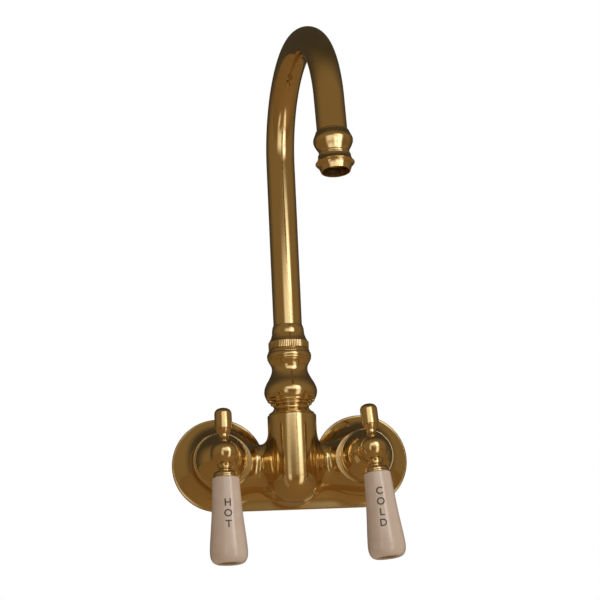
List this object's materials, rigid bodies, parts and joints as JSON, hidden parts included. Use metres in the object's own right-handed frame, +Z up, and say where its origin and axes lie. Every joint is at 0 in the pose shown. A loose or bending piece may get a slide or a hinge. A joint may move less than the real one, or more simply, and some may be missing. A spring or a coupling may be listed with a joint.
{
  "type": "bath filler",
  "caption": "Wall-mounted bath filler: porcelain lever valves on a flanged brass casting, and a swan-neck spout that swivels on a baluster column.",
  "frame": {"origin": "on the wall face of the flange, midway between the centres of the two inlets", "axes": "+X to the cold side, -Y out of the wall towards the bather, +Z up along the column"},
  "size_m": [0.1414, 0.1986, 0.3077],
  "materials": {
    "polished_brass": "mirror polished and lacquered",
    "bare_brass": "as machined, unpolished",
    "porcelain": "gloss glaze, warm white",
    "rubber": "matte black",
    "disc_ceramic": "lapped fine",
    "nylon": "moulded",
    "spring_steel": "bright spring steel"
  },
  "bodies": {
    "fixed_body": {"body_casting": "polished_brass", "hot_inlet_shank": "bare_brass", "hot_sealing_washer": "rubber", "hot_backing_washer": "nylon", "hot_lock_nut": "bare_brass", "hot_cartridge_body": "bare_brass", "hot_seat_seal": "rubber", "hot_fixed_disc": "disc_ceramic", "hot_bonnet": "polished_brass", "cold_inlet_shank": "bare_brass", "cold_sealing_washer": "rubber", "cold_backing_washer": "nylon", "cold_lock_nut": "bare_brass", "cold_cartridge_body": "bare_brass", "cold_seat_seal": "rubber", "cold_fixed_disc": "disc_ceramic", "cold_bonnet": "polished_brass", "baluster_stem": "polished_brass", "stem_seal": "rubber", "spout_nut": "polished_brass"},
    "spout": {"spout_tube": "polished_brass", "spout_collar": "bare_brass", "spout_bearing_ring": "nylon", "spout_o_rings": "rubber", "outlet_fitting": "polished_brass"},
    "hot_handle": {"hot_rotating_disc": "disc_ceramic", "hot_spindle": "bare_brass", "hot_spindle_o_rings": "rubber", "hot_spindle_clip": "spring_steel", "hot_handle_hub": "polished_brass", "hot_finial": "polished_brass", "hot_ferrule": "polished_brass", "hot_porcelain_lever": "porcelain", "hot_lever_rod": "bare_brass", "hot_end_nut": "polished_brass"},
    "cold_handle": {"cold_rotating_disc": "disc_ceramic", "cold_spindle": "bare_brass", "cold_spindle_o_rings": "rubber", "cold_spindle_clip": "spring_steel", "cold_handle_hub": "polished_brass", "cold_finial": "polished_brass", "cold_ferrule": "polished_brass", "cold_porcelain_lever": "porcelain", "cold_lever_rod": "bare_brass", "cold_end_nut": "polished_brass"}
  },
  "joints": [
    {"name": "spout_swivel", "type": "hinge", "parent": "fixed_body", "child": "spout", "pos_m": [0, -0.0252, 0], "axis": [0, 0, 1], "continuous": true},
    {"name": "hot_valve_turn", "type": "hinge", "parent": "fixed_body", "child": "hot_handle", "pos_m": [-0.04286, 0, 0], "axis": [0, 1, 0], "range_deg": [0, 90]},
    {"name": "cold_valve_turn", "type": "hinge", "parent": "fixed_body", "child": "cold_handle", "pos_m": [0.04286, 0, 0], "axis": [0, -1, 0], "range_deg": [-4, 86]}
  ]
}
